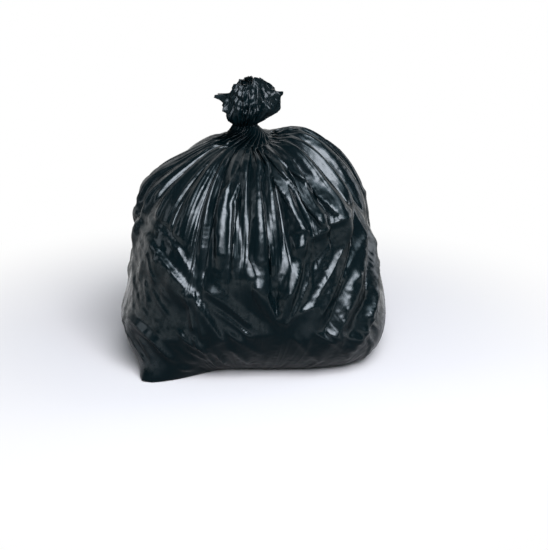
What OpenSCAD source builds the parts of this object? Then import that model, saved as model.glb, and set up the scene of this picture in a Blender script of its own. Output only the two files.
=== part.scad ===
// A filled bin bag that stands on its own bottom, its mouth twisted, knotted and left as a crumpled tuft.
// The film is one piece, so the bag is one closed solid, swept from the flat bottom to the tuft in rings.
// The neck is on the Z axis, +Z is up, -Y is the front and the bag stands on Z = 0.

/* [Bottom] */
// Reach of the flat patch that it stands on, to the right
base_right = 204; // [160:2:216]
// Reach of the flat patch to the back
base_back = 150; // [110:2:166]
// Reach of the flat patch to the left
base_left = 192; // [150:2:204]
// Reach of the flat patch to the front
base_front = 106; // [90:2:150]
// Reach of the bottom corner of the sack, at the front left
corner_reach = 243; // [225:1:255]

/* [Belly] */
// Reach of the belly to the right
belly_right = 232; // [215:1:260]
// Height of the widest part of the belly on the right
belly_right_height = 50; // [40:2:110]
// Reach of the belly to the back
belly_back = 188; // [170:1:215]
// Height of the widest part at the back
belly_back_height = 66; // [50:2:110]
// Reach of the belly to the left
belly_left = 220; // [205:1:250]
// Height of the widest part on the left
belly_left_height = 50; // [40:2:110]
// Reach of the belly to the front
belly_front = 186; // [170:1:215]
// Height of the widest part at the front
belly_front_height = 86; // [60:2:110]

/* [Shoulders] */
// Reach of the right shoulder
shoulder_right = 181; // [165:1:205]
// Height of the right shoulder
shoulder_right_height = 312; // [290:1:335]
// Reach of the back shoulder
shoulder_back = 158; // [140:1:172]
// Height of the back shoulder
shoulder_back_height = 292; // [275:1:315]
// Reach of the left shoulder
shoulder_left = 178; // [160:1:198]
// Height of the left shoulder
shoulder_left_height = 300; // [275:1:315]
// Reach of the front shoulder
shoulder_front = 150; // [130:1:172]
// Height of the front shoulder
shoulder_front_height = 272; // [240:1:300]

/* [Crown] */
// Reach of the crown on the right, where the film turns in to the neck
crown_right = 86; // [80:1:110]
// Height of the crown on the right
crown_right_height = 403; // [385:1:415]
// Reach of the crown at the back
crown_back = 100; // [85:1:115]
// Height of the crown at the back
crown_back_height = 368; // [355:1:390]
// Reach of the crown on the left
crown_left = 104; // [85:1:115]
// Height of the crown on the left
crown_left_height = 355; // [345:1:385]
// Reach of the crown at the front
crown_front = 96; // [85:1:110]
// Height of the crown at the front
crown_front_height = 360; // [345:1:385]

/* [Neck] */
// Radius of the gathers where they spring from the knot
root_radius = 34; // [28:1:42]
// Height at which the gathers spring from the knot
root_height = 392; // [385:1:400]
// Radius of the twisted neck at its tightest
neck_radius = 17; // [12:1:22]
// Height of the tightest part of the neck
neck_height = 411; // [406:1:424]
// Turn of the twisted neck, in degrees
neck_twist = 70; // [0:5:100]
// How far the neck leans to the left
neck_lean = 9; // [0:1:12]

/* [Gathers] */
// Number of gathers that run down from the neck
gather_count = 30; // [24:1:30]
// Depth of a gather on the shoulder, from ridge to valley
gather_depth = 18; // [8:1:20]
// Lowest height that the gathers run down to
gather_foot = 150; // [110:5:220]

/* [Folds] */
// How far the creases of the belly stand out of or sink into the film
fold_rise = 11; // [6:1:16]
// Half the width of a crease of the belly
fold_half_width = 30; // [20:1:45]

/* [Tuft] */
// Height of the tallest lobe of the tuft above the neck
tuft_height = 84; // [70:1:105]
// Reach of the longest lobe of the tuft
tuft_reach = 58; // [52:1:68]
// Thickness of the layered film at the rim of the tuft
tuft_wall = 5; // [3:0.5:8]

/* [Hidden] */

film_colour = [0.05, 0.055, 0.06];

full_turn = 360;

// How square the plan is at the bottom, how round it is at the neck, and the span by which it is round
square_bottom = 3.1;
round_neck = 2;
round_span = 4;

// Sides in the order right, back, left, front, which lie at 0, 90, 180 and 270 degrees
base_reach = [base_right, base_back, base_left, base_front];
belly_reach = [belly_right, belly_back, belly_left, belly_front];
belly_height = [belly_right_height, belly_back_height, belly_left_height, belly_front_height];
shoulder_reach = [shoulder_right, shoulder_back, shoulder_left, shoulder_front];
shoulder_height = [shoulder_right_height, shoulder_back_height, shoulder_left_height, shoulder_front_height];
crown_reach = [crown_right, crown_back, crown_left, crown_front];
crown_height = [crown_right_height, crown_back_height, crown_left_height, crown_front_height];

// The span between the belly and the shoulders, which the creases cross, and about how high it is
belly_span = 1;
belly_span_height = 235;

// The neck turns as it rises, from this far between the crown and the root
twist_start = 3.45;

// Rings between one named outline and the next, from the bottom up to the neck
rings_per_span = [5, 14, 8, 5, 3];
spans = len(rings_per_span);
tuft_rings = 8;
tuft_inner_rings = 4;

// A gather has four points: its valley, a flank, its ridge and the other flank
gather_stations = [0, 0.24, 0.5, 0.76];
gather_wave = [-1, 0.05, 1, 0.05];
per_gather = len(gather_stations);
ring_points = gather_count * per_gather;
gather_widths = rands(0.6, 1.4, gather_count, 11);
gather_depths = rands(0.5, 1.3, gather_count + 1, 23);
gather_feet = rands(-50, 90, gather_count + 1, 37);
gather_fade = 150;
// A gather is never deeper than this share of the film's reach
steepest_gather = 0.25;
rim_heights = rands(-3, 3, gather_count + 1, 41);

// Creases of the belly, each from one azimuth and height to another, and its rise and width as factors
creases = [
    [186, 262, 212, 214, 0.9, 1], [212, 214, 243, 154, 1, 1],
    [186, 270, 214, 232, 0.6, 0.7], [214, 232, 241, 180, 0.8, 0.7],
    [243, 152, 268, 76, 0.8, 1], [243, 150, 256, 66, 0.8, 0.8], [243, 150, 246, 64, 0.6, 0.8],
    [197, 262, 232, 168, -0.6, 1],
    [286, 104, 269, 208, 0.9, 0.9], [286, 104, 292, 228, 1.1, 0.9], [286, 104, 304, 152, 0.8, 0.9],
    [292, 228, 300, 268, 1.1, 1], [300, 268, 326, 316, 1.1, 1.1],
    [330, 322, 296, 76, 0.6, 0.8], [341, 284, 306, 68, 0.8, 0.8], [350, 240, 320, 62, 0.9, 0.8],
    [335, 300, 301, 72, -0.6, 0.7], [346, 262, 313, 66, -0.6, 0.7],
    [0, 160, 328, 74, -0.9, 1], [4, 176, 346, 158, 0.4, 1],
    [181, 92, 222, 80, 0.7, 1.2], [222, 80, 246, 86, 0.6, 1.2], [246, 86, 272, 50, 0.6, 1.2],
    [286, 102, 262, 92, 0.6, 1], [286, 102, 316, 78, 0.6, 1],
    [20, 300, 42, 190, 0.8, 1], [42, 190, 70, 96, 0.8, 1], [34, 318, 66, 214, 0.7, 0.9],
    [66, 214, 96, 150, 0.8, 1], [96, 150, 122, 196, 0.7, 0.9], [122, 196, 150, 268, 0.8, 1],
    [96, 150, 100, 66, 0.9, 1], [128, 120, 160, 236, 0.7, 0.9], [70, 96, 100, 66, -0.6, 1],
    [150, 96, 176, 150, 0.7, 1], [18, 120, 44, 76, 0.7, 1], [100, 66, 132, 84, 0.6, 1.1]
];

// Bulges and hollows that the contents give: azimuth, height, half width and rise
bulges = [
    [352, 96, 70, 5], [300, 190, 60, -5], [222, 250, 62, 6], [262, 120, 52, -5],
    [184, 208, 84, -13], [4, 214, 70, -9], [48, 240, 56, 6], [84, 200, 60, -5],
    [130, 260, 58, 6], [110, 110, 62, 5], [160, 110, 52, -4], [322, 290, 46, 7], [276, 262, 46, 4],
    [178, 288, 40, 8]
];

// Length of a degree on the unrolled film, how near a crease a point is that moves to it, how sharp
// its crest is, and the heights at which creases, bulges and hollows start and end
arc_per_degree = 3.5;
pull_reach = 11;
crest_power = 1.3;
crease_start = [4, 40];
crease_end = [400, 330];

// The bottom corner stands out past the flat patch and dies away up the belly
corner_azimuth = 221;
corner_spread = 13;
corner_fade = 92;

// Lobes of the tuft: azimuth, spread, reach past the bulb, height past the rim and how late the lobe opens
bulb_radius = 42;
bulb_power = 3.4;
rim_height = 48;
tuft_lobes = [
    [182, 14, tuft_reach - bulb_radius, 0, 5],
    [2, 30, 9, 8, 0.6],
    [100, 21, -18, tuft_height - rim_height - 8, 2],
    [60, 30, -11, 22, 1.4],
    [244, 34, -4, 6, 1.5],
    [300, 26, -12, 22, 1.6]
];

// How far up the tuft its floor lies, where it stands straight over the bag again, where its crumples
// are full, the depth of its pleats at the neck and at the rim as shares of the reach, and how flat the
// top of a lobe is
tuft_floor = 0.6;
lean_end = 0.6;
crumple_full = 0.5;
pleat_depth = [0.2, 0.05];
lobe_power = 3;
// Crumples of the tuft: waves round it, phase, slant up it and depth as a share of the reach
crumples = [
    [5, 20, 250, 0.06], [8, 140, -330, 0.07], [13, 65, 420, 0.07], [3, 200, 760, 0.05], [19, 10, -160, 0.05]
];

function mix(a, b, share) = a + (b - a) * share;
function smooth(low, high, x) = let (t = max(0, min(1, (x - low) / (high - low)))) t * t * (3 - 2 * t);
function turn(a, b) =
    let (d = (a - b) % full_turn, half = full_turn / 2)
    d > half ? d - full_turn : d < -half ? d + full_turn : d;
function bump(x, spread) = exp(-pow(x / spread, 2));
function sum(list, i = 0) = i >= len(list) ? 0 : list[i] + sum(list, i + 1);

// Where each gather starts, in degrees
gather_starts = let (whole = sum(gather_widths))
    [for (j = 0, at = 0; j < gather_count; at = at + gather_widths[j] * full_turn / whole, j = j + 1) at];

function gather_of(column) = floor(column / per_gather);
function azimuth(column) =
    let (
        j = gather_of(column),
        start = gather_starts[j],
        end = j == gather_count - 1 ? full_turn : gather_starts[j + 1]
    )
    mix(start, end, gather_stations[column % per_gather]);

// The outlines of one side from the bottom up, each as reach and height
function outlines(side) = [
    [base_reach[side], 0],
    [belly_reach[side], belly_height[side]],
    [shoulder_reach[side], shoulder_height[side]],
    [crown_reach[side], crown_height[side]],
    [root_radius, root_height],
    [neck_radius, neck_height]
];

// A smooth curve through the outlines, with knots spaced by the distance between them
function knot(a, b) = pow(norm(b - a), 0.5);
function through(a, b, c, d, share) =
    let (
        t1 = knot(a, b), t2 = t1 + knot(b, c), t3 = t2 + knot(c, d), t = mix(t1, t2, share),
        a1 = mix(a, b, t / t1), a2 = mix(b, c, (t - t1) / (t2 - t1)), a3 = mix(c, d, (t - t2) / (t3 - t2)),
        b1 = mix(a1, a2, t / t2), b2 = mix(a2, a3, (t - t1) / (t3 - t1))
    )
    mix(b1, b2, (t - t1) / (t2 - t1));
function side_point(points, span, share) =
    let (
        first = points[span], last = points[span + 1],
        before = span == 0 ? [first[0] - 40, first[1]] : points[span - 1],
        after = span == spans - 1 ? [last[0], last[1] + 20] : points[span + 2]
    )
    through(before, first, last, after, share);

// Reach and height at an azimuth, where four sides give theirs
function around(sides, square, angle) =
    let (
        c = cos(angle), s = sin(angle),
        x = sides[c >= 0 ? 0 : 2], y = sides[s >= 0 ? 1 : 3],
        reach = pow(pow(abs(c) / x[0], square) + pow(abs(s) / y[0], square), -1 / square)
    )
    [reach, x[1] * c * c + y[1] * s * s];

// How far along a crease its nearest point is, and the way to that point, on the unrolled film
function crease_way(crease, angle, height) =
    let (
        from = [turn(angle, crease[0]) * arc_per_degree, height - crease[1]],
        run = [turn(crease[2], crease[0]) * arc_per_degree, crease[3] - crease[1]],
        share = max(0, min(1, (from * run) / (run * run)))
    )
    [share, run * share - from];
function crease_rise(crease, angle, height) =
    let (
        way = crease_way(crease, angle, height),
        gap = norm(way[1]) / (fold_half_width * crease[5]),
        taper = min(1, (way[0] + 0.1) * 5, (1.1 - way[0]) * 5)
    )
    gap >= 1 ? 0 : crease[4] * fold_rise * taper * pow(1 - gap, crest_power);
// Points close to a crease move towards it, so that its crest runs through them
function crease_pull(angle, height) =
    let (
        ways = [for (crease = creases) crease_way(crease, angle, height)[1]],
        least = min([for (way = ways) norm(way)])
    )
    least >= pull_reach
        ? [0, 0]
        : [for (way = ways) if (norm(way) == least) way][0] * (1 - pow(least / pull_reach, 2));
function bulge_rise(bulge, angle, height) =
    bulge[3] * bump(norm([turn(angle, bulge[0]) * arc_per_degree, height - bulge[1]]), bulge[2]);
function belly_rise(angle, height) =
    smooth(crease_start[0], crease_start[1], height) * smooth(crease_end[0], crease_end[1], height) * (
        max([for (crease = creases) crease_rise(crease, angle, height)])
        + min([for (crease = creases) crease_rise(crease, angle, height)])
        + sum([for (bulge = bulges) bulge_rise(bulge, angle, height)])
    );

// How deep a gather is at a column, where the film has this reach and height
function gather_rise(column, reach, height) =
    let (
        k = column % per_gather, j = gather_of(column),
        foot = gather_foot + gather_feet[j],
        deep = gather_depth / 2 * gather_depths[j] * smooth(foot, foot + gather_fade, height)
    )
    gather_wave[k] * min(deep, steepest_gather * reach);

// A point of the body, on the ring that lies at a share of a span
function sides_at(span, share) = [for (side = [0:3]) side_point(outlines(side), span, share)];
function body_point(span, first_share, column) =
    let (
        square = mix(square_bottom, round_neck, smooth(0, round_span, span + first_share)),
        first_angle = azimuth(column),
        pull = span == belly_span
            ? crease_pull(first_angle, around(sides_at(span, first_share), square, first_angle)[1])
            : [0, 0],
        angle = first_angle + pull[0] / arc_per_degree,
        share = first_share + pull[1] / belly_span_height * min(1, 8 * first_share, 8 * (1 - first_share)),
        plain = around(sides_at(span, share), square, angle),
        height = plain[1],
        corner = bump(turn(angle, corner_azimuth), corner_spread) * smooth(corner_fade, 0, height),
        reach = max(plain[0], mix(plain[0], corner_reach, corner))
            + belly_rise(angle, height)
            + gather_rise(column, plain[0], height)
    )
    let (turned = smooth(twist_start, spans, span + share))
    placed(reach, angle, height, turned, turned);

// A point that has part of the neck's twist and part of its lean
function placed(reach, angle, height, twist, lean) =
    let (turned = angle + neck_twist * twist)
    [reach * cos(turned) - neck_lean * lean, reach * sin(turned), height];

function lobe_share(lobe, angle) = exp(-pow(abs(turn(angle, lobe[0])) / lobe[1], lobe_power));
function tuft_point(share, wall, column) =
    let (
        j = gather_of(column), k = column % per_gather,
        angle = azimuth(column) + neck_twist,
        bulb = mix(neck_radius, bulb_radius, 1 - pow(1 - share, bulb_power)),
        reach = bulb + sum([for (lobe = tuft_lobes) lobe[2] * lobe_share(lobe, angle) * pow(share, lobe[4])]),
        crumple = sum([for (wave = crumples) wave[3] * sin(wave[0] * angle + wave[1] + wave[2] * share)]),
        pleat = gather_wave[k] * gather_depths[j] * mix(pleat_depth[0], pleat_depth[1], share),
        rise = rim_height + rim_heights[j + (k > 2 ? 1 : 0)]
            + sum([for (lobe = tuft_lobes) lobe[3] * lobe_share(lobe, angle)])
    )
    placed(
        reach * (1 + crumple * smooth(0, crumple_full, share) + pleat) - wall, azimuth(column),
        neck_height + rise * share, 1, 1 - smooth(0, lean_end, share)
    );

ring_columns = [0:ring_points - 1];
bottom_centre = [0, 0, 0];
tuft_centre = [0, 0, neck_height + rim_height * tuft_floor];
rings = concat(
    [for (span = [0:spans - 1]) for (i = [0:rings_per_span[span] - 1])
        [for (c = ring_columns) body_point(span, i / rings_per_span[span], c)]],
    [for (i = [0:tuft_rings]) [for (c = ring_columns) tuft_point(i / tuft_rings, 0, c)]],
    [for (i = [0:tuft_inner_rings])
        [for (c = ring_columns) tuft_point(mix(1, tuft_floor, i / tuft_inner_rings), tuft_wall, c)]]
);

function point_at(ring, column) = 1 + ring * ring_points + column % ring_points;
// The two triangles between four points, split along the shorter diagonal
function split(r, c) =
    let (
        next = (c + 1) % ring_points,
        a = point_at(r, c), b = point_at(r + 1, c), d = point_at(r + 1, c + 1), e = point_at(r, c + 1)
    )
    norm(rings[r][c] - rings[r + 1][next]) < norm(rings[r + 1][c] - rings[r][next])
        ? [[a, b, d], [a, d, e]]
        : [[a, b, e], [b, d, e]];
last_ring = len(rings) - 1;
last_point = 1 + len(rings) * ring_points;

// The whole bag, from the flat patch it stands on to the inside of the tuft
module knotted_bag() {
    color(film_colour)
        polyhedron(
            points = concat([bottom_centre], [for (ring = rings) each ring], [tuft_centre]),
            faces = concat(
                [for (c = ring_columns) [0, point_at(0, c), point_at(0, c + 1)]],
                [for (r = [0:last_ring - 1]) for (c = ring_columns) each split(r, c)],
                [for (c = ring_columns) [last_point, point_at(last_ring, c + 1), point_at(last_ring, c)]]
            ),
            convexity = 10
        );
}

knotted_bag();
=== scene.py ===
import math

import bmesh
import bpy
import numpy as np
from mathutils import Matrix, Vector, noise


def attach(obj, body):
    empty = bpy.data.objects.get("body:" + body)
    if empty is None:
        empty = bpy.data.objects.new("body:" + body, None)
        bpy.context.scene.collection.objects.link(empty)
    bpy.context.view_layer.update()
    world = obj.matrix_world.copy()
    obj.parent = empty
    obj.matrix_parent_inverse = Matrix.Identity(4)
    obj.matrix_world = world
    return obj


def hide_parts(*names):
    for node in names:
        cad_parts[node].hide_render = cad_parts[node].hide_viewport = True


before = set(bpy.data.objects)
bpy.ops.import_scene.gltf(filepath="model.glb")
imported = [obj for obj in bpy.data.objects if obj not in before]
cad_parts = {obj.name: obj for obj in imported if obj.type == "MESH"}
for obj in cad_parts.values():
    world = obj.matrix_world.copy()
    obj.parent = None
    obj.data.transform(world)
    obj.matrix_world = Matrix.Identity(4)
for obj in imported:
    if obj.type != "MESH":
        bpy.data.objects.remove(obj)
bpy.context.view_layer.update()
scene = bpy.context.scene
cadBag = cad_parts["knotted_bag"]
print("stage: frame loaded")

# the picture is 548 by 550, and the bag's middle is at this pixel of it
view = {
    "target": (0, 0, 0.245), "elevation": 17, "distance": 2.6, "sensor": 36,
    "metresPerPixel": 0.00175, "picture": (548, 550), "targetPixel": (250, 216),
}


def addObject(name, data):
    made = bpy.data.objects.new(name, data)
    scene.collection.objects.link(made)
    return made


def placeRound(made, azimuth, elevation, distance):
    # out from the bag's middle, to the right of the camera's side and up, in degrees, and facing back at it
    a, e = math.radians(azimuth), math.radians(elevation)
    way = Vector((math.sin(a) * math.cos(e), -math.cos(a) * math.cos(e), math.sin(e)))
    made.location = Vector(view["target"]) + way * distance
    made.rotation_euler = (-way).to_track_quat("-Z", "Y").to_euler()


def makeCamera():
    data = bpy.data.cameras.new("camera")
    camera = addObject("camera", data)
    placeRound(camera, 0, view["elevation"], view["distance"])
    wide, high = view["picture"]
    longSide = max(wide, high)
    data.sensor_width = view["sensor"]
    data.lens = view["sensor"] * view["distance"] / (longSide * view["metresPerPixel"])
    data.shift_x = (wide / 2 - view["targetPixel"][0]) / longSide
    data.shift_y = (view["targetPixel"][1] - high / 2) / longSide
    scene.camera = camera


makeCamera()
print("stage: camera")


class Wire:
    # one output in a shader tree, which sums and products turn into Math nodes
    def __init__(self, tree, socket=None):
        self.tree, self.socket = tree, socket

    def node(self, kind, settings=None, sockets=None, output=0):
        made = self.tree.nodes.new(kind)
        for name, value in (settings or {}).items():  # first, because they change which sockets there are
            setattr(made, name, value)
        for name, value in (sockets or {}).items():
            if isinstance(value, Wire):
                self.tree.links.new(value.socket, made.inputs[name])
            else:
                made.inputs[name].default_value = value
        return Wire(self.tree, made.outputs[output] if made.outputs else None)

    def math(self, operation, first, second):
        return self.node("ShaderNodeMath", {"operation": operation}, {0: first, 1: second})

    def __add__(self, other):
        return self.math("ADD", self, other)

    def __sub__(self, other):
        return self.math("SUBTRACT", self, other)

    def __rsub__(self, other):
        return self.math("SUBTRACT", other, self)

    def __mul__(self, other):
        return self.math("MULTIPLY", self, other)

    def step(self, low, high):
        return self.node("ShaderNodeMapRange", {"interpolation_type": "SMOOTHSTEP"},
                         {"Value": self, "From Min": low, "From Max": high})

    __radd__ = __add__
    __rmul__ = __mul__


def shaderTree(owner):
    owner.use_nodes = True
    owner.node_tree.nodes.clear()
    return Wire(owner.node_tree)


def rayIs(tree, first, *others):
    # 1 for a ray of any of these kinds, and 0 for the rest
    total = tree.node("ShaderNodeLightPath", output=first)
    for name in others:
        total = total + tree.node("ShaderNodeLightPath", output=name)
    return tree.math("MINIMUM", total, 1.0)


# studio: a pale floor and backdrop, and the light that comes from all round
studio = {
    "floorSize": 12, "floorDrop": 0.0004, "floorColour": (0.7, 0.7, 0.71, 1), "floorFade": (0.28, 0.8),
    "roomLight": 0.13, "frontLight": 0.03, "backdropFrom": (0, 0.5),
}
cameraRay, mirrorRays = "Is Camera Ray", ("Is Glossy Ray", "Is Transmission Ray")


def makeFloor():
    bm = bmesh.new()
    bmesh.ops.create_grid(bm, x_segments=1, y_segments=1, size=studio["floorSize"] / 2)
    bmesh.ops.translate(bm, verts=bm.verts, vec=(0, 0, -studio["floorDrop"]))
    mesh = bpy.data.meshes.new("floor")
    bm.to_mesh(mesh)
    bm.free()
    floor = addObject("floor", mesh)
    material = bpy.data.materials.new("floor")
    tree = shaderTree(material)
    place = tree.node("ShaderNodeTexCoord", output="Object")
    away = tree.node("ShaderNodeVectorMath", {"operation": "LENGTH"}, {0: place}, "Value")
    seen = away.step(*studio["floorFade"]) * rayIs(tree, cameraRay, *mirrorRays)
    plain = tree.node("ShaderNodeBsdfDiffuse", sockets={"Color": studio["floorColour"]})
    white = tree.node("ShaderNodeEmission", sockets={"Color": (1, 1, 1, 1), "Strength": 1})
    both = tree.node("ShaderNodeMixShader", sockets={0: seen, 1: plain, 2: white})
    tree.node("ShaderNodeOutputMaterial", sockets={"Surface": both})
    mesh.materials.append(material)


def makeRoom():
    # white for the camera; for what the film mirrors, white behind the bag and dim in front of it; and for the
    # rest, a little light from all round
    world = bpy.data.worlds.new("studio")
    scene.world = world
    tree = shaderTree(world)
    way = tree.node("ShaderNodeTexCoord", output="Generated")
    y = tree.node("ShaderNodeSeparateXYZ", sockets={0: way}, output="Y")
    behind = y.step(*studio["backdropFrom"]) * (1 - studio["frontLight"]) + studio["frontLight"]
    strength = rayIs(tree, cameraRay) + rayIs(tree, *mirrorRays) * behind
    strength = strength + (1 - rayIs(tree, cameraRay, *mirrorRays)) * studio["roomLight"]
    light = tree.node("ShaderNodeBackground", sockets={"Color": (1, 1, 1, 1), "Strength": strength})
    tree.node("ShaderNodeOutputWorld", sockets={"Surface": light})


# softboxes: azimuth to the right of the camera and elevation in degrees, and the radiance of the face
lamps = {
    "key": {"azimuth": 13, "elevation": 41, "distance": 3.2, "wide": 1.9, "high": 1.8,
            "radiance": 12.0, "colour": (1, 0.93, 0.97)},
    "halo": {"azimuth": 16, "elevation": 44, "distance": 3.3, "wide": 3.2, "high": 2.8,
             "radiance": 3.0, "colour": (0.72, 0.9, 1)},
    "left": {"azimuth": -68, "elevation": 24, "distance": 2.0, "wide": 0.5, "high": 1.3,
             "radiance": 1.8, "colour": (0.93, 0.95, 1)},
    "right": {"azimuth": 98, "elevation": 16, "distance": 2.0, "wide": 0.7, "high": 1.2,
              "radiance": 3.0, "colour": (0.96, 0.95, 1)},
}


def makeLamps():
    for name, lamp in lamps.items():
        data = bpy.data.lights.new(name, "AREA")
        data.shape = "RECTANGLE"
        data.size, data.size_y = lamp["wide"], lamp["high"]
        data.energy = lamp["radiance"] * math.pi * lamp["wide"] * lamp["high"]
        data.color = lamp["colour"]
        placeRound(addObject(name, data), lamp["azimuth"], lamp["elevation"], lamp["distance"])


makeFloor()
makeRoom()
makeLamps()
print("stage: studio")

# blown film: near black and glossy, duller on the tuft and where it is scuffed; at the foot and underneath it
# is painted shade: the gloss is cut there so that the film mirrors less of the pale floor
film = {
    "colour": (0.001, 0.0042, 0.0056, 1), "ior": 1.5, "tint": (0.85, 0.95, 1, 1),
    "gloss": 0.46, "roughness": (0.16, 0.29), "footGloss": 0.05, "footRoughness": (0.25, 0.36),
    # heights and tilts over which one finish turns into the other, in metres and as the normal's z; the dull
    # finish at the foot and underneath is painted shade
    "footHeights": (0.0, 0.035), "undersides": (-0.2, 0.3), "tuftHeights": (0.41, 0.43), "tuftDull": 0.45,
    # patches of more and less roughness
    "cloud": {"Scale": 9.0, "Detail": 3.0},
    # wrinkles as bump: a scale is half of one over their size in metres; the pulls run along the film
    "crumples": {"Scale": 0.5 / 0.007, "Detail": 3.0, "Roughness": 0.4}, "crumpleDepth": 0.0009,
    "pulls": {"Scale": 0.5 / 0.005, "Detail": 2.0, "Roughness": 0.5, "Distortion": 0.2},
    "pullStretch": 0.1, "pullDepth": 0.0014,
    # scuffs, along the film and all over it
    "creases": {"Scale": 0.5 / 0.004, "Detail": 3.0}, "specks": {"Scale": 0.5 / 0.004, "Detail": 2.0},
    "scuffMix": (0.6, 0.4), "scuffs": (0.45, 0.6), "scuffDull": 0.5,
}


def makeFilm():
    material = bpy.data.materials.new("film")
    tree = shaderTree(material)
    place = tree.node("ShaderNodeTexCoord", output="Object")
    laid = tree.node("ShaderNodeAttribute", {"attribute_name": "film"}, output="Vector")
    stretch = (1, 1, film["pullStretch"])
    along = tree.node("ShaderNodeVectorMath", {"operation": "MULTIPLY"}, {0: laid, 1: stretch})

    def pattern(name, vector, kind="FBM"):
        return tree.node("ShaderNodeTexNoise", {"noise_type": kind}, {"Vector": vector, **film[name]})

    cloud = pattern("cloud", place)
    crumples = pattern("crumples", place, "RIDGED_MULTIFRACTAL")
    pulls = pattern("pulls", along, "RIDGED_MULTIFRACTAL")
    height = crumples * film["crumpleDepth"] + pulls * film["pullDepth"]
    bumped = tree.node("ShaderNodeBump", sockets={"Strength": 1.0, "Distance": 1.0, "Height": height})

    def finish(gloss, roughness):
        low, high = roughness
        return tree.node("ShaderNodeBsdfPrincipled", sockets={
            "Base Color": film["colour"], "Roughness": cloud * (high - low) + low, "IOR": film["ior"],
            "Specular IOR Level": gloss, "Specular Tint": film["tint"], "Normal": bumped})

    z = tree.node("ShaderNodeSeparateXYZ", sockets={0: place}, output="Z")
    normal = tree.node("ShaderNodeNewGeometry", output="Normal")
    tilt = tree.node("ShaderNodeSeparateXYZ", sockets={0: normal}, output="Z")
    # painted shade: the film mirrors less at the foot and where it faces down; it is duller on the tuft as
    # well, and the scuffs below are wear
    glossLeftByShadeAndScuffs = z.step(*film["footHeights"]) * tilt.step(*film["undersides"])
    glossLeftByShadeAndScuffs = glossLeftByShadeAndScuffs * (1 - z.step(*film["tuftHeights"]) * film["tuftDull"])
    alongShare, allOverShare = film["scuffMix"]
    scuffed = pattern("creases", along) * alongShare + pattern("specks", place) * allOverShare
    glossLeftByShadeAndScuffs = glossLeftByShadeAndScuffs * (1 - scuffed.step(*film["scuffs"]) * film["scuffDull"])
    dull = finish(film["footGloss"], film["footRoughness"])
    glossy = finish(film["gloss"], film["roughness"])
    both = tree.node("ShaderNodeMixShader", sockets={0: glossLeftByShadeAndScuffs, 1: dull, 2: glossy})
    tree.node("ShaderNodeOutputMaterial", sockets={"Surface": both})
    return material


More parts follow.
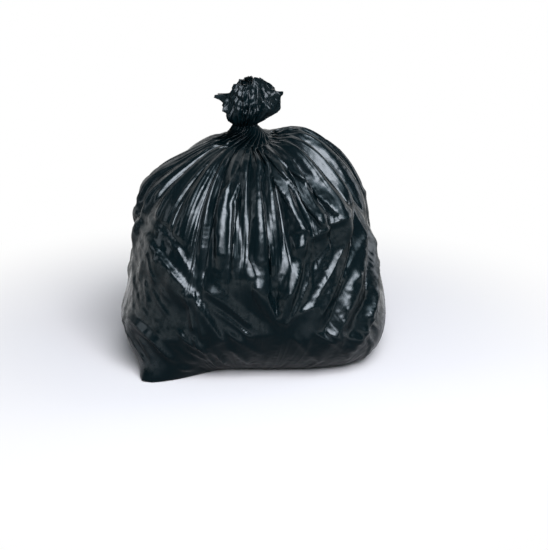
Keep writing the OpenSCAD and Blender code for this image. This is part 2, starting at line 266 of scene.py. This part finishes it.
# the film's own shape: the CAD solid's, made smooth, then folded; lengths in metres, and azimuths in degrees,
# from the bag's right side round by the back, so that the middle of the front is at 270
bag = {
    # the solid's mesh: a pole has more edges than this, the first column starts at this azimuth, the neck and
    # the rim are at these rings, and between these angles the steeper edges stay sharper
    "mergeWithin": 1e-5, "poleEdges": 60, "seam": 2.5, "neckRing": 35, "rimRing": 43,
    "levels": 2, "sharpAngles": (14, 60), "sharpMost": 0.75,
    # all folds: the seed, the least reach from the axis that they are measured at, the reach from which they
    # are full size, the share that is left by the neck, and how soon they run out at their ends
    "seed": 7, "leastReach": 0.012, "foldReach": 0.17, "leastFold": 0.15, "tip": 0.05, "tipSlope": 7,
    # the reach by which a crest's run and a drawn fold's lean are reckoned, and the draw of ridge or hollow
    "runReach": 0.18, "leanReach": 0.2, "foldSigns": (1, 1, -0.8),
    # points above pullFrom that are this close to a crest move on to it; the drawn folds fade near the
    # photograph's, and all of them fade at the foot
    "pullReach": 0.005, "pullFrom": 0.02, "clear": 0.018, "clearFade": (0.1, 0.6), "footFade": (0.002, 0.02),
    # the folded film is eased once between these heights
    "ease": 0.3, "easeHeights": (0.0042, 0.3),
    # the unrolled film lies on a tube of this radius; below leanTop its pulls lean, more or less by how far
    # round they are from the middle of the back, and on the tuft they run round it
    "tubeRadius": 0.21, "leanTop": 0.25, "tuftLaid": (0.1, 0.1, 10),
    "pullLeans": ((-150, 0), (-90, 0.5), (-40, 0.8), (-12, 0), (12, 0), (40, -0.8), (90, -0.5), (150, 0)),
    # folds read off the photograph: points of the crest as azimuth and height, its rise, and the width of the
    # flank to its left and to its right, looking along it
    "photoFolds": [
        (((270, 0.385), (274, 0.306), (273, 0.206)), 0.010, 0.018, 0.005),
        (((276, 0.385), (282, 0.310), (281, 0.195)), 0.010, 0.018, 0.005),
        (((283, 0.385), (294, 0.315), (300, 0.256)), 0.006, 0.018, 0.005),
        (((288, 0.385), (303, 0.325), (309, 0.268)), 0.006, 0.018, 0.005),
        (((294, 0.385), (311, 0.335), (318, 0.282)), 0.005, 0.018, 0.005),
        (((262, 0.385), (250, 0.310), (254, 0.212)), 0.008, 0.018, 0.005),
        (((266, 0.385), (258, 0.310), (261, 0.206)), 0.009, 0.016, 0.005),
        (((295, 0.320), (298, 0.262)), 0.005, 0.008, 0.014),
        (((186, 0.268), (217, 0.241), (229, 0.210), (241, 0.172)), 0.006, 0.0045, 0.034),
        (((200, 0.279), (222, 0.257), (232, 0.235), (241, 0.200)), 0.003, 0.006, 0.012),
        (((203, 0.240), (219, 0.212), (224, 0.174)), 0.006, 0.008, 0.012),
        (((217, 0.170), (221, 0.132)), 0.004, 0.008, 0.008),
        (((239, 0.172), (242, 0.141), (244, 0.103)), 0.005, 0.010, 0.009),
        (((243, 0.170), (246, 0.130), (248, 0.090)), 0.005, 0.010, 0.009),
        (((241, 0.172), (248, 0.138), (258, 0.082)), 0.007, 0.006, 0.022),
        (((246, 0.176), (258, 0.148), (271, 0.112)), 0.007, 0.018, 0.012),
        (((206, 0.104), (216, 0.094), (226, 0.076), (233, 0.040)), 0.007, 0.010, 0.009),
        (((208, 0.078), (220, 0.034)), 0.006, 0.008, 0.008),
        (((284, 0.119), (273, 0.186)), 0.005, 0.012, 0.010),
        (((284, 0.119), (289, 0.168), (295, 0.206), (298, 0.254)), 0.008, 0.014, 0.010),
        (((287, 0.121), (293, 0.146), (299, 0.181), (302, 0.246)), 0.005, 0.010, 0.010),
        (((286, 0.119), (293, 0.134), (300, 0.144)), 0.004, 0.008, 0.007),
        (((318, 0.234), (308, 0.184), (300, 0.146)), 0.003, 0.005, 0.006),
        (((323, 0.236), (311, 0.170), (302, 0.123)), 0.003, 0.005, 0.006),
        (((336, 0.250), (321, 0.200), (309, 0.145)), 0.003, 0.005, 0.007),
        (((347, 0.240), (331, 0.200), (320, 0.172), (314, 0.127)), 0.003, 0.005, 0.007),
        (((350, 0.225), (335, 0.180), (324, 0.150), (318, 0.115)), 0.003, 0.005, 0.007),
        (((322, 0.126), (328, 0.154), (338, 0.172)), 0.005, 0.010, 0.008),
        (((334, 0.144), (326, 0.108), (336, 0.070)), 0.004, 0.008, 0.008),
    ],
    # a shelf that the gathers of the right front end on, in the same terms, and how far it clears the drawn
    # folds above it and below it
    "shelf": (((300, 0.250), (314, 0.274), (329, 0.295)), 0.005, 0.012, 0.010),
    "shelfClear": (0.003, 0.035),
    # broad forms: azimuth and height of the middle, half width and half height, and rise
    "broadForms": [
        (266, 0.225, 0.05, 0.080, 0.010), (272, 0.180, 0.13, 0.040, 0.008),
        (306, 0.254, 0.030, 0.028, 0.007), (321, 0.272, 0.035, 0.028, 0.008),
    ],
    # folds drawn at random within these bounds: how many, the azimuth and height at which they start, and
    # their length; how far they lean from the fall of the film (to the right where positive), their rise, the
    # width of the right flank and how many times as wide the left one is
    "drawnFolds": {
        "gathers": (100, (346, 552), (0.30, 0.42), (0.08, 0.22),
                    (-4, 4), (0.0025, 0.0055), (0.006, 0.012), (0.4, 1)),
        "side gathers": (10, (192, 212), (0.36, 0.40), (0.06, 0.10),
                         (-4, 4), (0.0025, 0.0050), (0.006, 0.010), (0.4, 1)),
        "left gathers": (9, (212, 240), (0.37, 0.40), (0.13, 0.20),
                         (-1, 3), (0.0035, 0.0060), (0.003, 0.004), (3, 4)),
        "middle gathers": (3, (240, 248), (0.385, 0.40), (0.16, 0.20),
                           (-2, 2), (0.0025, 0.0050), (0.011, 0.016), (0.2, 0.35)),
        "far gathers": (5, (322, 346), (0.385, 0.40), (0.11, 0.15),
                        (-3, 1), (0.0025, 0.0050), (0.003, 0.005), (3, 4.5)),
        "fine gathers": (240, (0, 360), (0.27, 0.41), (0.05, 0.15),
                         (-4, 4), (0.0004, 0.0013), (0.003, 0.007), (0.5, 1.5)),
        "right bundle": (24, (306, 360), (0.20, 0.27), (0.10, 0.16),
                         (-38, -33), (0.0014, 0.0030), (0.004, 0.007), (0.5, 0.9)),
        "left fan": (9, (240, 247), (0.13, 0.17), (0.08, 0.14),
                     (8, 58), (0.0028, 0.0050), (0.005, 0.009), (0.4, 0.9)),
        "left side": (4, (188, 215), (0.12, 0.20), (0.06, 0.12),
                      (4, 24), (0.0018, 0.0040), (0.004, 0.009), (0.4, 1)),
        "left foot": (14, (206, 250), (0.05, 0.10), (0.03, 0.07),
                      (15, 45), (0.0025, 0.0048), (0.005, 0.009), (0.4, 0.9)),
        "front": (14, (180, 300), (0.05, 0.18), (0.05, 0.12),
                  (-65, 65), (0.0008, 0.0020), (0.010, 0.026), (0.4, 1)),
        "back": (120, (0, 180), (0.08, 0.32), (0.08, 0.20),
                 (-50, 50), (0.0020, 0.0048), (0.005, 0.014), (0.4, 1.5)),
        "foot": (70, (0, 360), (0.004, 0.05), (0.02, 0.07),
                 (-25, 25), (0.0008, 0.0024), (0.004, 0.010), (0.4, 1)),
        "right foot": (10, (288, 326), (0.08, 0.12), (0.05, 0.09),
                       (15, 60), (0.0025, 0.0045), (0.006, 0.009), (0.5, 0.9)),
        "left ridges": (6, (192, 214), (0.20, 0.27), (0.08, 0.14),
                        (38, 50), (0.0020, 0.0040), (0.006, 0.009), (0.5, 0.9)),
    },
    # the tuft: its wall is eased, its front rises and leans back over the opening, film fills the opening, and
    # all of it is crumpled, with folds wrapped round it; a pair is where a blend starts and ends
    "tuft": {
        "easePasses": 20, "ease": 0.5, "easeRings": (36, 42.4), "easeHalfWidth": 0.047,
        "rise": 0.014, "lean": 0.65, "front": (-0.02, 0.012),
        "leftEnd": (-0.04, -0.022), "rightEnd": (0.004, 0.045), "rightDrop": 0.75,
        "fill": 0.022, "fillTop": 0.482, "fillRings": 3, "fillSides": (0.02, 0.045),
        "crumples": ((45, 0.009), (110, 0.004)), "crumpleMean": 0.003,
        "crumpleFrom": (0, 0.2), "crumpleMiddle": (0, 0.02),
        "folds": [
            (((222, 0.462), (250, 0.450), (280, 0.458)), 0.005, 0.004, 0.006),
            (((222, 0.450), (250, 0.438), (285, 0.446)), 0.005, 0.004, 0.006),
            (((228, 0.440), (262, 0.428), (300, 0.438)), 0.004, 0.004, 0.006),
            (((286, 0.472), (298, 0.454), (318, 0.440)), 0.005, 0.005, 0.008),
            (((300, 0.428), (312, 0.446), (330, 0.460)), 0.004, 0.005, 0.008),
        ],
    },
}
filmLayers = ("ring", "columnCos", "columnSin", "along")


def smoothStep(low, high, x):
    t = np.clip((x - low) / (high - low), 0, 1)
    return t * t * (3 - 2 * t)


def halfTurn(degrees):
    # the same direction, between -180 and 180
    return (degrees + 180) % 360 - 180


def neighbours(v):
    return [e.other_vert(v) for e in v.link_edges]


def ringInOrder(ring):
    # a ring's points, one after the other round the bag
    row = [ring[0]]
    while len(row) < len(ring):
        row.append(next(v for v in neighbours(row[-1]) if v in ring and v not in row[-2:]))
    return row


def ringGrid(bm):
    # the rings of the solid between its poles, from the bottom up, each with its points in the columns' order
    bottom = min((v for v in bm.verts if len(v.link_edges) > bag["poleEdges"]), key=lambda v: v.co.z)
    found, rings = {bottom}, [[bottom]]
    while rings[-1]:
        near = dict.fromkeys(w for v in rings[-1] for w in neighbours(v))
        rings.append([v for v in near if v not in found])
        found.update(rings[-1])
    # the lowest ring runs clockwise from the seam, so that the order of the solid's vertices doesn't matter
    rows = [sorted(rings[1], key=lambda v: (bag["seam"] - math.degrees(math.atan2(v.co.y, v.co.x))) % 360)]
    for ring in rings[2:-2]:
        best, shortest = None, math.inf
        order = ringInOrder(ring)
        for way in (order, order[::-1]):
            for turn in range(len(way)):
                turned = way[turn:] + way[:turn]
                pairs = list(zip(rows[-1], turned))
                if all(b in neighbours(a) for a, b in pairs):
                    length = sum((a.co - b.co).length for a, b in pairs)
                    if length < shortest:
                        best, shortest = turned, length
        rows.append(best)
    return rows


def layFilm(bm):
    # notes on each vertex its ring, its column as a turn, and its length along the film from the lowest ring
    for name in filmLayers:
        bm.verts.layers.float.new(name)
    ringOf, turnCos, turnSin, along = (bm.verts.layers.float[name] for name in filmLayers)
    rings = ringGrid(bm)
    place = {}
    for r, ring in enumerate(rings):
        for c, v in enumerate(ring):
            place[v] = (r, c)
            turn = 2 * math.pi * c / len(ring)
            v[ringOf], v[turnCos], v[turnSin] = r, math.cos(turn), math.sin(turn)
            if r:
                below = rings[r - 1][c]
                v[along] = below[along] + (v.co - below.co).length
    top = max((v for v in bm.verts if v not in place), key=lambda v: v.co.z)
    top[ringOf], top[along] = len(rings), rings[-1][0][along]
    return place


def smoothBag():
    # the CAD solid's mesh without doubles and diagonals, subdivided with its sharp edges kept
    bm = bmesh.new()
    bm.from_mesh(cadBag.data)
    bmesh.ops.remove_doubles(bm, verts=bm.verts, dist=bag["mergeWithin"])
    bmesh.ops.recalc_face_normals(bm, faces=bm.faces)
    sharp = bm.edges.layers.float.new("crease_edge")
    place = layFilm(bm)
    diagonals = []
    for edge in bm.edges:
        a, b = (place.get(v) for v in edge.verts)
        if a and b and a[0] != b[0] and a[1] != b[1]:
            diagonals.append(edge)
    bmesh.ops.dissolve_edges(bm, edges=diagonals, use_verts=False)
    sharpFrom, sharpTo = bag["sharpAngles"]
    for edge in bm.edges:
        angle = math.degrees(edge.calc_face_angle(0))
        edge[sharp] = max(0.0, min(bag["sharpMost"], (angle - sharpFrom) / (sharpTo - sharpFrom)))
    mesh = bpy.data.meshes.new("film_bag")
    bm.to_mesh(mesh)
    bm.free()
    piece = addObject("film_bag", mesh)
    smooth = piece.modifiers.new("smooth", "SUBSURF")
    smooth.levels = smooth.render_levels = bag["levels"]
    graph = bpy.context.evaluated_depsgraph_get()
    piece.data = bpy.data.meshes.new_from_object(piece.evaluated_get(graph))
    piece.modifiers.clear()
    piece.data.name = "film_bag"
    return piece


def readFloats(source, name, wide=1):
    values = np.empty(len(source) * wide, np.float32)
    source.foreach_get(name, values)
    return values.astype(float)


def easeFilm(mesh, chosen, factor, passes=1):
    # moves each chosen vertex towards the middle of its neighbours
    bm = bmesh.new()
    bm.from_mesh(mesh)
    verts = [v for v in bm.verts if chosen[v.index]]
    for _ in range(passes):
        bmesh.ops.smooth_vert(bm, verts=verts, factor=factor,
                              use_axis_x=True, use_axis_y=True, use_axis_z=True)
    bm.to_mesh(mesh)
    bm.free()


def easeTuft(mesh):
    tuft = bag["tuft"]
    ring = readFloats(mesh.attributes["ring"].data, "value")
    x = readFloats(mesh.vertices, "co", 3)[::3]
    easeFrom, easeTo = tuft["easeRings"]
    wall = (ring > easeFrom) & (ring < easeTo) & (abs(x) < tuft["easeHalfWidth"])
    easeFilm(mesh, wall, tuft["ease"], tuft["easePasses"])


def readFilm(mesh):
    # every vertex's place and normal, its azimuth, height and reach from the axis, and its layers
    sheet = {name: readFloats(mesh.attributes[name].data, "value") for name in filmLayers}
    sheet["co"] = readFloats(mesh.vertices, "co", 3).reshape(-1, 3)
    sheet["normal"] = readFloats(mesh.vertex_normals, "vector", 3).reshape(-1, 3)
    x, y, z = sheet["co"].T
    sheet["azimuth"] = np.degrees(np.arctan2(y, x)) % 360
    sheet["height"], sheet["reach"] = z, np.hypot(x, y)
    return sheet


def writeLaid(mesh, sheet):
    # where the film lies when it is unrolled: round the tube, and along it
    radius = bag["tubeRadius"]
    fromBack = (sheet["azimuth"] + 90) % 360 - 180
    below = np.maximum(bag["leanTop"] - sheet["height"], 0)
    lean = np.interp(fromBack, *zip(*bag["pullLeans"])) * below / radius
    turn = np.arctan2(sheet["columnSin"], sheet["columnCos"]) + lean
    laid = np.stack([np.cos(turn) * radius, np.sin(turn) * radius, sheet["along"]], 1)
    laid[sheet["ring"] > bag["neckRing"]] *= bag["tuftLaid"]
    vectors = mesh.attributes.new("film", "FLOAT_VECTOR", "POINT").data
    vectors.foreach_set("vector", laid.astype(np.float32).ravel())
    for name in filmLayers:
        mesh.attributes.remove(mesh.attributes[name])


def foldRise(sheet, points, rise, leftWide, rightWide, shrinks=True):
    # a fold's crest runs from point to point; its flanks fall off straight, each over a width of its own,
    # and it shrinks by the neck; also the way and the distance from each vertex to the crest
    reach = np.maximum(sheet["reach"], bag["leastReach"])
    gathered = np.clip(reach / bag["foldReach"], bag["leastFold"], 1) if shrinks else 1
    runs = [(math.radians(halfTurn(b[0] - a[0])), b[1] - a[1]) for a, b in zip(points, points[1:])]
    sizes = [math.hypot(bag["runReach"] * turn, up) for turn, up in runs]
    total, done = sum(sizes), 0
    count = len(reach)
    lift, nearest, gaps = np.zeros(count), np.full(count, np.inf), np.zeros((2, count))
    for (azimuth, low), (turn, up), size in zip(points, runs, sizes):
        away = np.radians(halfTurn(sheet["azimuth"] - azimuth)) * reach
        over, run = sheet["height"] - low, turn * reach
        share = np.clip((away * run + over * up) / (run ** 2 + up ** 2), 0, 1)
        gapX, gapY = away - share * run, over - share * up
        gap = np.hypot(gapX, gapY)
        whole = (done + share * size) / total
        toEnd = np.minimum(whole + bag["tip"], 1 + bag["tip"] - whole)
        wide = np.where(run * over - up * away > 0, leftWide, rightWide) * gathered
        taper = np.clip(toEnd * bag["tipSlope"], 0, 1)
        here = rise * np.sqrt(gathered) * taper * np.maximum(0, 1 - gap / wide)
        lift = np.maximum(lift, here) if rise > 0 else np.minimum(lift, here)
        closer = gap < nearest
        gaps = np.where(closer, [gapX, gapY], gaps)
        nearest = np.where(closer, gap, nearest)
        done += size
    return lift, gaps, nearest


def drawFolds(sheet, draw):
    # each family of folds meets crest to crest, and the families lie on each other
    total = np.zeros(len(sheet["height"]))
    for count, azimuths, lows, lengths, leans, heights, widths, ratios in bag["drawnFolds"].values():
        rises, falls = np.zeros(len(total)), np.zeros(len(total))
        # a family with one steep flank has no hollows
        signs = bag["foldSigns"] if ratios[0] <= 1 <= ratios[1] else (1,)
        for i in range(count):
            azimuth = azimuths[0] + (azimuths[1] - azimuths[0]) * (i + draw.uniform()) / count
            low, length = draw.uniform(*lows), draw.uniform(*lengths)
            lean = math.radians(draw.uniform(*leans))
            rise, wide = draw.uniform(*heights) * draw.choice(signs), draw.uniform(*widths)
            azimuthTo = azimuth + math.degrees(math.sin(lean) * length / bag["leanReach"])
            points = ((azimuth, low), (azimuthTo, low - math.cos(lean) * length))
            lift = foldRise(sheet, points, rise, wide, wide * draw.uniform(*ratios))[0]
            rises, falls = np.maximum(rises, lift), np.minimum(falls, lift)
        total += rises + falls
    return total


def placeFolds(sheet, drawn):
    # the folds of the photograph stand clear of the drawn ones, and points close to a crest move on to it
    count = len(drawn)
    tall, near, pull = np.zeros(count), np.zeros(count), np.zeros((2, count))
    least = np.full(count, bag["pullReach"])
    above = sheet["height"] > np.interp(sheet["azimuth"], *zip(*bag["shelf"][0]))
    clears = [bag["clear"]] * len(bag["photoFolds"]) + [np.where(above, *bag["shelfClear"])]
    for fold, clear in zip(bag["photoFolds"] + [bag["shelf"]], clears):
        lift, gaps, gap = foldRise(sheet, *fold)
        tall = np.maximum(tall, lift)
        near = np.maximum(near, 1 - gap / clear)
        pull = np.where(gap < least, -gaps * (1 - (gap / bag["pullReach"]) ** 2), pull)
        least = np.minimum(least, gap)
    return drawn * (1 - smoothStep(*bag["clearFade"], near)) + tall, pull


def foldTuft(sheet, co):
    # crumples and folds the tuft, lifts its front wall, fills its opening and leans the front back
    tuft = bag["tuft"]
    chosen = np.nonzero(sheet["ring"] > bag["neckRing"] - 1)[0]
    part = {name: values[chosen] for name, values in sheet.items()}
    ring, rim = part["ring"], bag["rimRing"]
    x, y, _ = co[chosen].T
    up = smoothStep(bag["neckRing"], rim, ring)
    rough = np.zeros(len(chosen))
    for scale, deep in tuft["crumples"]:
        rough += [deep * abs(noise.noise(Vector(p) * scale)) for p in co[chosen]]
    lift = np.zeros(len(chosen))
    for fold in tuft["folds"]:
        lift = np.maximum(lift, foldRise(part, *fold, shrinks=False)[0])
    lift *= ring < rim
    turn = np.radians(part["azimuth"])
    out = np.stack([np.cos(turn), np.sin(turn), np.zeros(len(turn))], 1)
    out *= smoothStep(*tuft["crumpleMiddle"], part["reach"])[:, None]
    crumpled = (rough - tuft["crumpleMean"]) * smoothStep(*tuft["crumpleFrom"], up)
    co[chosen] += out * (crumpled + lift)[:, None]
    front = 1 - smoothStep(*tuft["front"], y)
    middle = smoothStep(*tuft["leftEnd"], x) * (1 - tuft["rightDrop"] * smoothStep(*tuft["rightEnd"], x))
    co[chosen, 2] += tuft["rise"] * up * front * middle
    inside = smoothStep(rim, rim + tuft["fillRings"], ring)
    filled = co[chosen, 2] + tuft["fill"] * inside * (1 - smoothStep(*tuft["fillSides"], np.abs(x)))
    co[chosen, 2] = np.maximum(co[chosen, 2], np.minimum(filled, tuft["fillTop"]))
    co[chosen, 1] *= 1 - tuft["lean"] * up * front


def foldFilm(mesh):
    # moves the film out by its folds and broad forms, shapes the tuft, and eases what lies below the gathers
    sheet = readFilm(mesh)
    drawn = drawFolds(sheet, np.random.default_rng(bag["seed"]))
    lift, pull = placeFolds(sheet, drawn)
    for azimuth, height, wide, high, rise in bag["broadForms"]:
        away = np.radians(halfTurn(sheet["azimuth"] - azimuth)) * sheet["reach"] / wide
        lift += rise * np.exp(-away ** 2 - ((sheet["height"] - height) / high) ** 2)
    outside = sheet["ring"] < bag["neckRing"]
    lift *= outside * smoothStep(*bag["footFade"], sheet["height"])
    turn = np.radians(sheet["azimuth"])
    across = np.stack([-np.sin(turn), np.cos(turn), np.zeros(len(turn))], 1)
    upward = np.cross(sheet["normal"], across)
    pulled = across * pull[0][:, None] + upward * pull[1][:, None]
    pulled *= (outside * (sheet["height"] > bag["pullFrom"]))[:, None]
    co = sheet["co"] + sheet["normal"] * lift[:, None] + pulled
    foldTuft(sheet, co)
    co[:, 2] = np.maximum(co[:, 2], 0)
    co = co.astype(np.float32)
    mesh.vertices.foreach_set("co", co.ravel())
    writeLaid(mesh, sheet)
    easeFrom, easeTo = bag["easeHeights"]
    easeFilm(mesh, (co[:, 2] > easeFrom) & (co[:, 2] < easeTo), bag["ease"])


piece = smoothBag()
easeTuft(piece.data)
print("stage: bag smoothed")
foldFilm(piece.data)
print("stage: film folded")
piece.data.materials.clear()
piece.data.materials.append(makeFilm())
piece.data.shade_smooth()
print("stage: bag", len(piece.data.polygons), "faces")

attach(piece, "root")
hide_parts("knotted_bag")

scene.view_settings.view_transform = "Standard"
